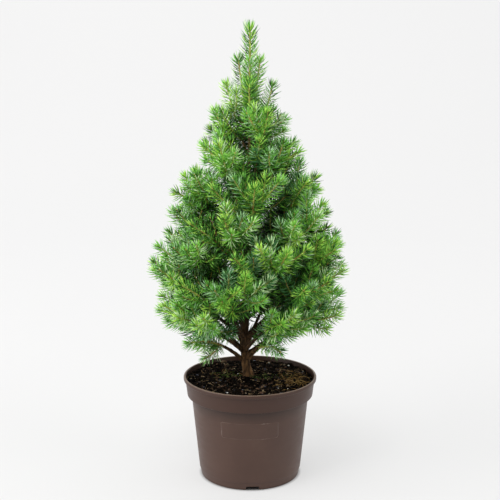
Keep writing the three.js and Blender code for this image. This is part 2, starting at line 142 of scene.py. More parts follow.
# Finer twigs leave a shoot in whorls at its year joints: how far back from its tip, how many, how long.
JOINTS = [(31, 3, 26), (56, 3, 33), (82, 3, 36), (110, 3, 36), (138, 3, 32)]
TWIG = Sizes(
    joint_play=4,
    past_start=0.04,  # how far past a shoot's start its lowest joint is, as a share of its length
    first_key=500000,
    leave=46,  # degrees from the shoot where it leaves
    close=14,  # degrees that it bends back towards the shoot
    play=9,
    turn_play=0.25,
    length_play=0.22,
    lift=0.16,  # how far it bends up, as a share of its length
    apart=13.5,  # between tips
    in_reach=7.5,  # what the outline keeps for its needles
    deepest=62,  # how far inside the outline a tip may lie
    off_trunk=9,
    lowest=150,
    root_radius=0.75,
    tip_radius=0.55,
)
# A needle's size, its lean from the shoot at the foot and the tip of a year's growth, and its bend.
NEEDLE = Sizes(
    length=14.5,
    length_play=0.16,
    tuft_length=0.8,
    width=1.15,
    foot_width=0.42,  # of that
    root_spread=68,
    tip_spread=52,
    tuft_spread=24,
    tuft=5,  # the last millimetres, where needles close round the bud
    spread_play=9,
    turn_play=14,
    incurve=11,  # degrees from its foot to its point
    lift=0.1,
    bend_at=0.52,
    lowest=130,  # of its point
)
# How far back from the tip each stretch of growth starts, its needles to the millimetre, and its age.
STRETCHES = [(0, 5, 0), (4, 2.3, 0), (34, 1.7, 1), (62, 1.3, 2), (96, 1.1, 3)]
NEEDLED = 134  # how far back from its tip a shoot carries needles at all
# The plain greens, as linear base colours.
GREENS = {
    "pale": (0.58, 0.8, 0.42),
    "lime": (0.42, 0.73, 0.1),
    "fresh": (0.245, 0.6, 0.075),
    "green": (0.13, 0.4, 0.05),
    "deep": (0.032, 0.12, 0.012),
    "blue": (0.105, 0.31, 0.115),
    "frost": (0.35, 0.6, 0.3),
    "shade": (0.007, 0.022, 0.0015),
}
# Each spray is dealt the green of most of its needles, of those that catch the light, and of those in shade.
# The first row is for new growth on the face of the tree.  Age moves a spray to later rows, and so does depth
# inside, as painted shade.
DEALT = [
    ["fresh pale green", "fresh lime green", "lime pale green", "green lime deep", "fresh lime deep",
     "green frost deep", "fresh frost green", "green pale deep"],
    ["green fresh deep", "green frost deep", "blue frost deep", "deep fresh shade", "green lime shade",
     "blue pale deep", "deep green shade", "green frost shade"],
    ["deep green shade", "deep blue shade", "shade green shade", "deep fresh shade"],
    ["shade deep shade"],
]
LIT, SHADED = 0.3, 0.26  # the shares of a spray's needles that catch the light and that lie in shade
# At each of these depths inside the outline a spray's greens move a row darker: painted shade.
DEPTHS = [19, 29]  # inside the outline, where a spray moves on by a row

# The trunk's mesh: how far it starts below the source's and ends above it, and how deep its relief is at
# its foot and its tip, as a share of its radius.
BARK = Sizes(sunk=2.5, past_tip=2, ring=1.4, sides=26, foot_relief=0.13, tip_relief=0.05)
# The size of the relief's parts, how far they are drawn out upwards, their shares, and their keys.
RELIEF = [(1.5, 0.22, 0.55, 61), (3.4, 0.6, 0.45, 62)]
# Woody limbs: the distance between rings, the sides, the collar where they leave, and their relief.
BOUGH_WOOD = Sizes(ring=1.3, sides=12, collar=1.3, relief=0.2, overlap=0.02)
STEM_WOOD = Sizes(ring=2.0, sides=8, collar=0.7, relief=0.16, overlap=0.01)
COLLAR_FADE = 3.5  # how soon a collar thins away along its limb
# The young end of a shoot: how far back from the tip it starts, its rings, and the waves along it.
YOUNG = Sizes(back=52, ring=4.2, sides=5, wave=0.1, wave_turn=2.4, shortest=6)
# A bud's rings: how far past the tip, and how wide as a share of the stem.
BUD = [(0.8, 1.25), (1.8, 1.3), (2.7, 0.85), (3.3, 0.2)]

# The radii that round the pot's edges, and how wide its lip is.
EDGES = Sizes(
    base=1.4,
    wall_foot=0.4,
    under_collar=0.6,
    collar=0.7,
    under_lip=0.9,
    lip=1.1,
    inside_lip=0.9,
)
LIP_WIDTH = 2.5
# The space that is cut for a drain channel and its hole.
CHANNEL = Sizes(corner=1.8, outer=90, low=-2, hole_low=3, hole_high=12)
LABEL = Sizes(left=-32.3, right=31.8, low=62, high=79.5, middle=67, corner=1.6, columns=40)
FILM = Sizes(thick=0.16, sunk=0.15, edge=0.45, edge_thick=0.07)
POT_TONE = {
    "plain": (0.066, 0.033, 0.023),
    "dark": (0.06, 0.0295, 0.0205),
    "middle": (0.068, 0.034, 0.0235),
    "worn": (0.082, 0.044, 0.031),
    # Painted shade on the wall, darker up to the collar's underside.
    "under_collar": (0.034, 0.0165, 0.011),
    # Painted shade: the collar is darker than the wall, as in the crown's shade.
    "collar": (0.045, 0.0185, 0.011),
    # Painted highlight: a pale line along the top of the lip.
    "lip": (0.19, 0.125, 0.09),
}

# The peat's mesh, how clear it is of the pot, and how calm its lumps are by the trunk.
PEAT = Sizes(
    segments=168,
    rings=62,
    crowding=0.92,
    clear=0.3,
    lift=0.4,
    chamfer=0.6,
    sunk=0.9,
    calmest=0.35,
    calm_to=5,
    rough_from=10,
)
LUMPS = [(0.75, 11, 71), (0.7, 4.6, 72), (0.42, 2.1, 73)]  # height, width and key
# How far from the axis what lies on the soil may reach, where it is dealt out, and how clear of the trunk.
LITTER = Sizes(within=71.2, strewn=70.0, gathered=69.5, off_trunk=6.5)
# How far out a patch of fibres thins away, and how tight it is, as shares of its reach.
GATHER = Sizes(fill=0.97, tight=0.6)
# How far small crumbs outnumber large ones, how jagged and long they are, and how far they stand out.
CRUMB = Sizes(small=2.2, jag=0.34, stretch=0.55, proud=0.3)
# A fibre's bend, how far it is off the soil, its width's play, and its widths from end to end.
FIBRE = Sizes(bend=1.1, off=0.2, thinnest=0.7, play=0.6, widths=[0.5, 0.9, 1, 1, 0.8, 0.35])
# The dark, middle and light tones of the soil and of what lies on it, and their patches to the metre.
EARTHS = {
    "peat": ((0.0008, 0.0005, 0.0003), (0.0042, 0.0024, 0.0013), (0.06, 0.038, 0.023), 260),
    "bark_bits": ((0.02, 0.011, 0.008), (0.085, 0.048, 0.03), (0.22, 0.14, 0.09), 260),
    # Below: bluish-grey crumbs whose pale tone is a painted glint.
    "damp_bits": ((0.015, 0.015, 0.02), (0.085, 0.085, 0.11), (0.26, 0.27, 0.32), 260),
    "perlite": ((0.5, 0.48, 0.44), (0.72, 0.7, 0.66), (0.85, 0.84, 0.82), 700),
    "straw": ((0.1, 0.062, 0.034), (0.34, 0.245, 0.14), (0.72, 0.6, 0.42), 160),
    "gold_moss": ((0.05, 0.028, 0.011), (0.3, 0.18, 0.06), (0.66, 0.47, 0.2), 150),
    "green_moss": ((0.03, 0.05, 0.012), (0.08, 0.12, 0.03), (0.19, 0.24, 0.07), 420),
}
# Each kind of crumb: its earth, how many, its least and greatest radius, its key, and how flat it is.
CRUMBS = {
    "peat_crumbs": ("peat", 2600, (0.5, 2.6), 81, 0.75),
    "bark_bits": ("bark_bits", 520, (0.5, 2.3), 82, 0.5),
    # Below: bluish-grey crumbs whose pale tone is a painted glint.
    "damp_bits": ("damp_bits", 210, (0.5, 1.9), 83, 0.4),
    "perlite": ("perlite", 34, (0.6, 1.5), 84, 0.9),
}
# Each kind of fibre: its earth and its patches.  A patch has a count, a key, a middle and a reach or neither,
# the least and greatest length, the radius, and how high a fibre arches as a share of its length.
FIBRES = {
    "straw_fibres": ("straw", [(210, 85, None, None, (4, 17), 0.27, 0.12)]),
    "gold_moss": ("gold_moss", [
        (95, 87, (50, -10), (24, 40), (7, 20), 0.22, 0.3),
        (70, 89, (-30, 12), (26, 16), (2.5, 7), 0.22, 0.25),
    ]),
    "green_moss": ("green_moss", [
        (120, 91, (-26, 10), (20, 16), (2, 6), 0.26, 0.4),
        (90, 93, (14, -2), (16, 14), (2, 6), 0.26, 0.4),
        (60, 95, (44, 10), (18, 20), (2, 5), 0.26, 0.4),
    ]),
}

# The paper that sweeps up behind the pot, and where it starts and stops to give light, in bases of the pot.
# The glow is painted light, and its rise just outside the pot's foot paints a shadow round it.
SWEEP = Sizes(half=6000, front=-5000, back=3600, radius=2200, top=5000)
PAPER_GLOW = {"strength": 0.5, "from": 0.97, "to": 1.06}
WARM, WHITE = (1, 0.985, 0.96), (1, 1, 1)
# Area lights: place, aim, width and height in metres, watts and colour.
LIGHTS = {
    "key": ((-2.6, -1.0, 1.5), (0, 0, 0.3), (3.0, 2.2), 98, WARM),
    "fill": ((2.6, -1.0, 1.4), (0, 0, 0.3), (2.4, 2.2), 48, WARM),
    "front_top": ((-0.3, -1.0, 2.3), (0, 0, 0.3), (0.9, 0.9), 24, WHITE),
    "backdrop_wash": ((0, 1.6, 3.2), (0, 3.0, 0.4), (7.0, 1.6), 100, WHITE),
}
WORLD_LIGHT = 0.23
# The camera of the photo: its place in metres, its pitch in degrees, its lens in millimetres.
CAMERA = Sizes(at=(0.0, -1.0876, 0.46465), pitch=-10.72, lens=72.0, sensor=36, near=0.05, far=30)

# ------ numbers


def chance(*keys):
    """A number from 0 to 1 that depends only on its whole-number keys, which may be arrays."""
    mask = np.uint64(0xFFFFFFFF)
    h = np.uint64(SEED)
    for key in keys:
        salted = (np.asarray(key, dtype=np.int64) + 0x9E3779B9).astype(np.uint64) & mask
        h = ((h ^ salted) * np.uint64(0x85EBCA6B)) & mask
        h = h ^ (h >> np.uint64(13))
        h = (h * np.uint64(0xC2B2AE35)) & mask
        h = h ^ (h >> np.uint64(16))
    return h / 2.0**32


def spread(*keys):
    return 2 * chance(*keys) - 1


def lerp(a, b, t):
    return a + (b - a) * t


def smoothstep(x, low, high):
    t = np.clip((x - low) / (high - low), 0, 1)
    return t * t * (3 - 2 * t)


def unit(v):
    return v / np.linalg.norm(v, axis=-1, keepdims=True)


def noise(points, size, key):
    """Smooth noise from -1 to 1, with bumps about size across."""
    grid = np.asarray(points) / size
    cell = np.floor(grid).astype(np.int64)
    part = grid - cell
    part = part * part * (3 - 2 * part)
    total = np.zeros(len(grid))
    for corner in np.ndindex(2, 2, 2):
        weight = np.prod(np.where(np.array(corner) == 1, part, 1 - part), axis=1)
        x, y, z = (cell + corner).T
        total += weight * spread(key, x, y, z)
    return total


# ------ meshes


class Shape:
    """Corners and faces, in millimetres, that are gathered for one piece."""

    def __init__(self):
        self.points = []
        self.faces = []
        self.count = 0

    def add(self, points, *faces):
        self.points.append(np.asarray(points, float).reshape(-1, 3))
        self.faces += [np.asarray(f, np.int64) + self.count for f in faces]
        self.count += len(self.points[-1])

    def piece(self, name, material, smooth=True):
        corners = np.concatenate(self.points) * MM
        widths = np.concatenate([np.full(len(f), f.shape[1]) for f in self.faces])
        loops = np.concatenate([f.ravel() for f in self.faces])
        mesh = bpy.data.meshes.new(name)
        mesh.vertices.add(len(corners))
        mesh.vertices.foreach_set("co", corners.astype(np.float32).ravel())
        mesh.loops.add(len(loops))
        mesh.loops.foreach_set("vertex_index", loops.astype(np.int32))
        mesh.polygons.add(len(widths))
        mesh.polygons.foreach_set("loop_start", (np.cumsum(widths) - widths).astype(np.int32))
        mesh.update(calc_edges=True)
        if smooth:
            mesh.shade_smooth()
        mesh.materials.append(material)
        piece = bpy.data.objects.new(name, mesh)
        bpy.context.scene.collection.objects.link(piece)
        return piece


def angles_round(sides):
    return 2 * np.pi * np.arange(sides) / sides


def grid_quads(rows, columns, closed=True):
    """The quads between rows of corners that follow each other.  Each row is a ring where it is closed."""
    i, j = np.meshgrid(np.arange(rows - 1), np.arange(columns if closed else columns - 1), indexing="ij")
    k = (j + 1) % columns
    quads = [i * columns + j, i * columns + k, (i + 1) * columns + k, (i + 1) * columns + j]
    return np.stack(quads, axis=-1).reshape(-1, 4)


def add_rings(shape, rings, start, end):
    """A skin over rings of corners, closed at each end by a fan round a point."""
    count, sides = rings.shape[:2]
    j = np.arange(sides)
    k = (j + 1) % sides
    last = (count - 1) * sides
    start_fan = np.stack([np.full(sides, count * sides), k, j], axis=1)
    end_fan = np.stack([np.full(sides, count * sides + 1), last + j, last + k], axis=1)
    shape.add(np.vstack([rings.reshape(-1, 3), start, end]), grid_quads(count, sides), start_fan, end_fan)


def axes_across(points):
    """Two directions across a line at each of its points."""
    tangent = unit(np.gradient(points, axis=0))
    toward = unit(points[-1] - points[0])
    aside = UP if abs(toward[2]) < 0.9 else np.array([0.0, 1.0, 0.0])
    across = unit(np.cross(aside, tangent))
    return across, np.cross(tangent, across)


def add_tube(shape, points, radii, sides, relief=None):
    """A closed tube along a line of points.  relief gives each corner's share of extra radius."""
    across, over = axes_across(points)
    angle = angles_round(sides)
    out = np.cos(angle)[None, :, None] * across[:, None] + np.sin(angle)[None, :, None] * over[:, None]
    reach = np.broadcast_to(np.asarray(radii, float).reshape(-1, 1), out.shape[:2])
    if relief is not None:
        plain = (points[:, None] + out * reach[:, :, None]).reshape(-1, 3)
        reach = reach * (1 + relief(plain).reshape(reach.shape))
    add_rings(shape, points[:, None] + out * reach[:, :, None], points[0], points[-1])


# ------ the source's rule for limbs and shoots


def trunk_at(z):
    """The middle of the trunk at a height, which bows out low down and straightens towards the top."""
    foot = TRUNK.foot
    t = (np.asarray(z, float) - foot[2]) / (TRUNK.top - foot[2])
    x = foot[0] * (1 - t) - TRUNK.bow_out * t * np.exp(-t / TRUNK.bow_fade)
    y = foot[1] * (1 - t) ** 2
    return np.stack([x, y, np.broadcast_to(np.asarray(z, float), np.shape(t))], axis=-1)


def trunk_radius(z, angle=None):
    up = z - TRUNK.foot[2]
    share = np.minimum(1, up / (TRUNK.tip - TRUNK.foot[2]))
    flare = np.exp(-np.maximum(up, 0) / TRUNK.flare_fade)
    lobes = 1 if angle is None else 1 + TRUNK.lobe_depth * flare * np.cos(TRUNK.lobes * angle + 1)
    return (lerp(TRUNK.radius, TRUNK.tip_radius, share) + TRUNK.flare * flare) * lobes


def outline_reach(z):
    return np.interp(z, OUTLINE_HEIGHTS, OUTLINE_REACHES)


def column_radius(z):
    return np.interp(z, [COLUMN.low, COLUMN.high], [COLUMN.foot, COLUMN.top])


def on_bearing(bearing, reach, height):
    return np.array([AXIS[0] + reach * math.cos(bearing), AXIS[1] + reach * math.sin(bearing), height])


def reach_of(point):
    return math.hypot(point[0] - AXIS[0], point[1] - AXIS[1])


def bearing_of(point):
    return math.atan2(point[1] - AXIS[1], point[0] - AXIS[0])


def tier_line(level, reach):
    tier = TIERS[level]
    return tier.launch + tier.rise * reach / outline_reach(tier.launch + tier.rise)


def floor_of(level, reach):
    """The lowest height of a tier's own space, at a distance from the axis."""
    line = tier_line(level, reach)
    if level == 0:
        return max(SPACE.lowest, line - SPACE.skirt_drop)
    return lerp(tier_line(level - 1, reach), line, SPACE.under)


def fits_sector(level, bearing, point, margin):
    """Whether a point lies in the space of its mass, clear of the masses round it and of the trunk."""
    reach, here = reach_of(point), bearing_of(point)
    half = math.pi / TIERS[level].count
    off = abs(math.atan2(math.sin(here - bearing), math.cos(here - bearing)))
    if off > half or math.sin(min(half - off, math.pi / 2)) * reach < margin:
        return False
    if point[2] < floor_of(level, reach) + margin:
        return False
    if level + 1 < len(TIERS) and point[2] > floor_of(level + 1, reach) - margin:
        return False
    trunk = trunk_at(point[2])
    from_trunk = math.hypot(point[0] - trunk[0], point[1] - trunk[1])
    inner = column_radius(point[2]) if point[2] > TRUNK.tip else trunk_radius(point[2])
    return from_trunk > margin + inner


class Growth:
    """A curved shoot: its path from 0 to 1, the share where it starts to show, its stem's radii at both ends,
    and its needles' lean and length as shares of what is common.
    """

    def __init__(self, path_at, key, start=0.0, radii=(1.0, 1.0), brush=(1.0, 1.0)):
        self.path_at = path_at
        self.key = key
        self.start = start
        self.radii = radii
        self.brush = brush
        line = path_at(np.linspace(0, 1, 201))
        self.length = np.linalg.norm(np.diff(line, axis=0), axis=1).sum()
        self.tip = path_at(1.0)

    def grown(self, more):
        """The same shoot, a little longer."""
        further = 1 + more / self.length
        start = self.start / further
        return Growth(lambda t: self.path_at(t * further), self.key, start, self.radii, self.brush)


def curve(start, middle, end):
    """The path along a curve with one bend, from 0 to 1."""

    def path_at(t):
        t = np.asarray(t, float)[..., None]
        return (1 - t) ** 2 * start + 2 * t * (1 - t) * middle + t * t * end

    return path_at


def bough_line(level, index):
    """The bearing of a bough's sector, and the bough's path."""
    tier = TIERS[level]
    bearing = math.radians(tier.turn + 360 * index / tier.count)
    swing = math.radians(BOUGH.bearing_play * spread(level, index, 1))
    height = tier.launch + BOUGH.height_play * spread(level, index, 2)
    tip_height = height + tier.rise
    reach = max(
        outline_reach(tip_height) * (1 - BOUGH.reach_play * chance(level, index, 3)) - SOURCE_NEEDLE,
        column_radius(tip_height) + COLUMN.beside,
    )
    start = trunk_at(height)
    tip = on_bearing(bearing + swing, reach, tip_height)
    middle = (start + tip) / 2
    middle[2] = height + tier.rise * tier.bow
    return bearing, curve(start, middle, tip)


def face_height(level):
    """Where a tier's space starts on the face of the tree."""
    if level == len(TIERS):
        return COLUMN.high
    height = SPACE.lowest
    while height < TRUNK.top and height < floor_of(level, outline_reach(height)):
        height += 1
    return height


def tip_places(level, index, bearing):
    """For each side shoot of a mass, the places that its tip may take, in the order that they are tried."""
    low, high = face_height(level), face_height(level + 1)
    half = math.pi / TIERS[level].count
    width = 2 * half * outline_reach((low + high) / 2)
    count = max(2, math.floor(width * (high - low) / DEAL.area + 0.5))
    for number in range(count):
        dealt = DEAL.heights[number % len(DEAL.heights)]
        dealt = dealt + DEAL.play * spread(level, index, number, 1)
        places = []
        for shift in DEAL.shifts:
            height = lerp(low, high, dealt + shift)
            inside = outline_reach(height) - SOURCE_NEEDLE
            reach = inside * (1 - DEAL.inward * chance(level, index, number, 2))
            side = half - min(half / 2, DEAL.beside / reach)
            share = (number + 0.5 + DEAL.play * spread(level, index, number, 3)) / count
            places.append(on_bearing(bearing + lerp(-side, side, share), reach, height))
        yield places


def angle_between(a, b):
    return math.acos(max(-1, min(1, float(np.dot(a, b) / (np.linalg.norm(a) * np.linalg.norm(b))))))


def side_shoot(path_at, leafy, tip, key):
    """A shoot to a tip, from where on the leafy stretch it leaves nearest to the usual angle."""
    best_miss, root = math.inf, None
    t = leafy
    while t < DEAL.up_to:
        here = path_at(t)
        tangent = path_at(t + 0.01) - path_at(t - 0.01)
        miss = abs(angle_between(tangent, tip - here) - math.radians(DEAL.leave))
        if miss < best_miss:
            best_miss, root = miss, here
        t += DEAL.step
    chord = np.linalg.norm(tip - root)
    middle = (root + tip) / 2
    middle[2] -= SHOOT.sag * chord
    bearing = bearing_of(tip)
    middle -= DEAL.outward * chord * np.array([math.cos(bearing), math.sin(bearing), 0])
    radii = (SHOOT.root_radius, SHOOT.tip_radius)
    return Growth(curve(root, middle, tip), key, radii=radii)


def stands_free(shoot, shoots, level, bearing):
    """Whether a shoot keeps to its mass's space, with its tip apart from the others."""
    if shoot.length < SHOOT.shortest:
        return False
    own = all(fits_sector(level, bearing, shoot.path_at(t), SPACE.core) for t in SHOOT.probes)
    return own and all(np.linalg.norm(other.tip - shoot.tip) > DEAL.apart for other in shoots)


def mass_growth(level, index):
    """The stem and side shoots of one mass of foliage, as the part's source has them."""
    bearing, path_at = bough_line(level, index)
    start = TIERS[level].bare
    key = 1000 * (level + 1) + 100 * index
    stem = Growth(path_at, key, start=start, radii=(BOUGH.tip_radius, SHOOT.tip_radius))
    shoots = [stem]
    for number, places in enumerate(tip_places(level, index, bearing)):
        for tip in places:
            shoot = side_shoot(path_at, start + DEAL.start, tip, key + number + 1)
            if stands_free(shoot, shoots, level, bearing):
                shoots.append(shoot)
                break
    return shoots


def leader_growth():
    base, end = TRUNK.tip, TRUNK.top - SOURCE_NEEDLE
    radii = (TRUNK.tip_radius, LEADER.tip_radius)
    return Growth(lambda t: trunk_at(lerp(base, end, t)), LEADER.key, radii=radii, brush=LEADER.brush)


# ------ finer twigs


def in_window(tip):
    beside = abs(tip[0] - WINDOW.middle) < WINDOW.half
    return beside and tip[1] < WINDOW.front and tip[2] < WINDOW.top


def twig_growth(parents):
    """Whorls of finer twigs at the year joints of the shoots, where there is room for their tips."""
    tips = [parent.tip for parent in parents]
    twigs = []
    for joint, (back, count, length) in enumerate(JOINTS):
        for parent in parents:
            at = 1 - (back + TWIG.joint_play * spread(parent.key, joint, 1)) / parent.length
            if at < parent.start + TWIG.past_start:
                continue
            root = parent.path_at(at)
            tangent = unit(parent.path_at(at + 0.01) - parent.path_at(at - 0.01))
            side = unit(np.cross(tangent, UP + 0.01 * tangent[[1, 2, 0]]))
            turn = 2 * math.pi * chance(parent.key, joint, 2)
            for number in range(count):
                twig = new_twig(parent, joint, number, root, (tangent, side), turn, length)
                if twig_fits(twig, tips):
                    twigs.append(twig)
                    tips.append(twig.tip)
    return twigs


def new_twig(parent, joint, number, root, axes, turn, length):
    """One twig of a whorl, which leaves wide and bends back towards its shoot and up."""
    tangent, side = axes
    count = JOINTS[joint][1]
    key = parent.key * 10 + joint * 3 + number + TWIG.first_key
    around = turn + 2 * math.pi * (number + TWIG.turn_play * spread(key, 1)) / count
    out = math.cos(around) * side + math.sin(around) * np.cross(tangent, side)
    long = length * (1 + TWIG.length_play * spread(key, 2))
    leave = math.radians(TWIG.leave + TWIG.play * spread(key, 3))
    close = leave - math.radians(TWIG.close)
    middle = root + 0.5 * long * (math.cos(leave) * tangent + math.sin(leave) * out)
    tip = root + long * (math.cos(close) * tangent + math.sin(close) * out) + TWIG.lift * long * UP
    return Growth(curve(root, middle, tip), key, radii=(TWIG.root_radius, TWIG.tip_radius))


def twig_fits(twig, tips):
    tip = twig.tip
    inside = outline_reach(tip[2]) - reach_of(tip)
    if in_window(tip) or tip[2] < TWIG.lowest or not TWIG.in_reach < inside < TWIG.deepest:
        return False
    trunk = trunk_at(tip[2])
    if math.hypot(tip[0] - trunk[0], tip[1] - trunk[1]) < TWIG.off_trunk:
        return False
    return np.linalg.norm(np.array(tips) - tip, axis=1).min() > TWIG.apart


# ------ needles


def needle_rows(growth):
    """Where a shoot's needles stand: distances back from its tip, with the age of the growth at each."""
    shown = growth.length * (1 - growth.start)
    ends = [start for start, *_ in STRETCHES[1:]] + [NEEDLED]
    rows = []
    for (low, dense, age), end in zip(STRETCHES, ends):
        count = int((min(end, shown) - low) * dense)
        if count > 0:
            back = low + (np.arange(count) + 0.5) / dense
            rows.append(np.stack([back, np.full(count, age)], axis=1))
    return np.concatenate(rows)


def greens_for(growth, age, number):
    """The name of the green of each needle of a shoot."""
    depth = outline_reach(growth.tip[2]) - reach_of(growth.tip)
    # Depth inside the outline moves a spray to darker rows: painted shade.
    row = np.minimum(age + np.searchsorted(DEPTHS, depth), len(DEALT) - 1)
    dealt = [deals[int(len(deals) * chance(growth.key, i, 4))].split() for i, deals in enumerate(DEALT)]
    tone = np.searchsorted([1 - LIT - SHADED, 1 - SHADED], chance(growth.key, number, 5))
    return np.array(dealt)[row, tone]


def needle_leans(growth, back, number):
    """The angle of each needle of a shoot from its stem, and its length."""
    tuft = smoothstep(-back, -NEEDLE.tuft, 0)
    year = smoothstep(-back, -STRETCHES[2][0], 0)
    lean = lerp(NEEDLE.root_spread, NEEDLE.tip_spread, year)
    lean = growth.brush[0] * lerp(lean, NEEDLE.tuft_spread, tuft)
    lean = lean + NEEDLE.spread_play * spread(growth.key, number, 2)
    long = NEEDLE.length * (1 - NEEDLE.length_play * chance(growth.key, number, 3))
    long = growth.brush[1] * long * lerp(1, NEEDLE.tuft_length, tuft)
    return np.radians(lean), long


def add_needles(groups, growth):
    """Needles in a spiral round a shoot, each put with the green that its spray is dealt."""
    rows = needle_rows(growth)
    back, age = rows[:, 0], rows[:, 1].astype(int)
    number = np.arange(len(back))
    t = 1 - back / growth.length
    foot = growth.path_at(t)
    tangent = unit(growth.path_at(t + 0.005) - growth.path_at(t - 0.005))
    across = unit(np.cross(ASKEW, tangent))
    over = np.cross(tangent, across)
    turn = GOLDEN * number + np.radians(NEEDLE.turn_play) * spread(growth.key, number, 1)
    out = np.cos(turn)[:, None] * across + np.sin(turn)[:, None] * over
    lean, long = needle_leans(growth, back, number)
    point = foot[:, 2] + long * (np.cos(lean) * tangent[:, 2] + np.sin(lean) * out[:, 2])
    dealt = greens_for(growth, age, number)
    for name in GREENS:
        chosen = (dealt == name) & (point > NEEDLE.lowest)
        if chosen.any():
            groups[name].append([part[chosen] for part in (foot, tangent, out, lean, long)])


def needle_shape(parts):
    """All the needles of one green: three-sided, bent once, with a closed foot and a point."""
    foot, tangent, out, lean, long = (np.concatenate(part) for part in zip(*parts))
    half_bend = math.radians(NEEDLE.incurve) / 2

    def heading(angle):
        return np.cos(angle)[:, None] * tangent + np.sin(angle)[:, None] * out

    rise = NEEDLE.lift * UP
    lower = unit(heading(lean + half_bend) + 0.5 * rise)
    upper = unit(heading(lean - half_bend) + rise)
    bend = foot + lower * (long * NEEDLE.bend_at)[:, None]
    tip = bend + upper * (long * (1 - NEEDLE.bend_at))[:, None]
    side = unit(np.cross(lower, upper + 0.001 * UP))
    flat = np.cross(lower, side)
    corners = []
    for middle, width in ((foot, NEEDLE.foot_width), (bend, 1.0)):
        half = 0.5 * width * NEEDLE.width
        for angle in (0.5 * math.pi, 0.5 * math.pi + THIRD, 0.5 * math.pi - THIRD):
            corners.append(middle + half * (math.cos(angle) * side + math.sin(angle) * flat))
    corners.append(tip)
    one = [[0, 2, 1]]
    for j in range(3):
        k = (j + 1) % 3
        one += [[j, k, 3 + k], [j, 3 + k, 3 + j], [3 + j, 3 + k, 6]]
    first = len(corners) * np.arange(len(foot))
    shape = Shape()
    shape.add(np.stack(corners, axis=1), (np.array(one)[None] + first[:, None, None]).reshape(-1, 3))
    return shape


# ------ bark and young stems


def bark_relief(points):
    """Upright fissures and small plates, from -1 to 1."""
    total = 0
    for size, drawn, share, key in RELIEF:
        total = total + share * noise(points * np.array([1, 1, drawn]), size, key)
    return total


def trunk_shape():
    shape = Shape()
    base, tip = TRUNK.foot[2] - BARK.sunk, TRUNK.tip + BARK.past_tip
    heights = np.linspace(base, tip, int((tip - base) / BARK.ring))
    middles = trunk_at(heights)
    angle = angles_round(BARK.sides)
    radii = np.stack([trunk_radius(heights, a) for a in angle], axis=1)
    out = np.stack([np.cos(angle), np.sin(angle), 0 * angle], axis=1)
    plain = middles[:, None] + radii[:, :, None] * out
    depth = lerp(BARK.foot_relief, BARK.tip_relief, (heights - base) / (tip - base))
    reach = radii * (1 + bark_relief(plain.reshape(-1, 3)).reshape(radii.shape) * depth[:, None])
    add_rings(shape, middles[:, None] + reach[:, :, None] * out, middles[0], middles[-1])
    return shape


def limb_radii(share, growth, collar):
    plain = lerp(growth.radii[0], growth.radii[1], share)
    return plain + collar * np.exp(-share * growth.length / COLLAR_FADE)


def add_wood(shape, growth, until, wood):
    """A shoot's woody stem from its start, with a swollen collar where it leaves its parent."""
    until = until + wood.overlap
    collar = 0 if growth.start else wood.collar
    count = max(3, int(growth.length * (until - growth.start) / wood.ring))
    t = np.linspace(growth.start, until, count)
    radii = limb_radii((t - growth.start) / (1 - growth.start), growth, collar)
    depth = wood.relief
    add_tube(shape, growth.path_at(t), radii, wood.sides, lambda points: depth * bark_relief(points))


def add_young(shape, growth, since):
    """The young stem of a shoot, which ends in a small bud."""
    count = max(4, int(growth.length * (1 - since) / YOUNG.ring))
    t = np.linspace(since, 1, count)
    radii = limb_radii((t - growth.start) / (1 - growth.start), growth, 0)
    radii = radii * (1 + YOUNG.wave * np.cos(np.arange(count) * YOUNG.wave_turn))
    tangent = unit(growth.path_at(1.0) - growth.path_at(0.98))
    points = np.vstack([growth.path_at(t), [growth.tip + along * tangent for along, _ in BUD]])
    radii = np.concatenate([radii, [growth.radii[1] * wide for _, wide in BUD]])
    add_tube(shape, points, radii, YOUNG.sides)


# ------ pot


def arc(centre, radius, first, last, steps):
    """Points of an arc in a profile, as (radius, height), between two angles in degrees."""
    angles = np.radians(np.linspace(first, last, steps))
    return [(centre[0] + radius * math.cos(a), centre[1] + radius * math.sin(a)) for a in angles]


def between(start, end, shares):
    """Points of a profile on the straight line between two others."""
    return [(lerp(start[0], end[0], share), lerp(start[1], end[1], share)) for share in shares]


def wall_radius(z):
    return np.interp(z, [POT.foot, COLLAR_LOW], [POT.wall_foot, POT.wall_top])


def outside_profile():
    """The pot's underside and outside, from the axis up to the lip."""
    foot, wall_foot, wall_top = POT.foot, POT.wall_foot, POT.wall_top
    collar_foot, stepped_in = POT.collar_foot, wall_foot - POT.foot_step
    r = EDGES.base
    points = [(0, 0), (POT.base - r, 0)]
    points += arc((POT.base - r, r), r, -80, 0, 5)
    points += between((POT.base, 0), (stepped_in, foot), (0.35, 0.65, 0.9))
    points += [(stepped_in, foot - 0.2)]
    r = EDGES.wall_foot
    points += arc((wall_foot - r, foot + 0.3), r, -60, 0, 4)
    points += [(wall_radius(z), z) for z in foot + np.linspace(1.5, 80, 14)]
    r = EDGES.under_collar
    points += [(wall_top, COLLAR_LOW - 1.5 * r)]
    points += arc((wall_top + r, COLLAR_LOW - r), r, 180, 90, 4)
    r = EDGES.collar
    points += arc((collar_foot - r, COLLAR_LOW + r), r, -90, 0, 5)
    low, high = (collar_foot, COLLAR_LOW + 0.9), (POT.collar_top, LIP_LOW - 0.5)
    points += between(low, high, np.linspace(0.08, 1, 7))
    r = EDGES.under_lip
    points += arc((POT.rim - r, LIP_LOW + 0.7), r, -75, 0, 5)
    r = EDGES.lip
    return points + arc((POT.rim - r, POT.height - r), r, 0, 90, 7)


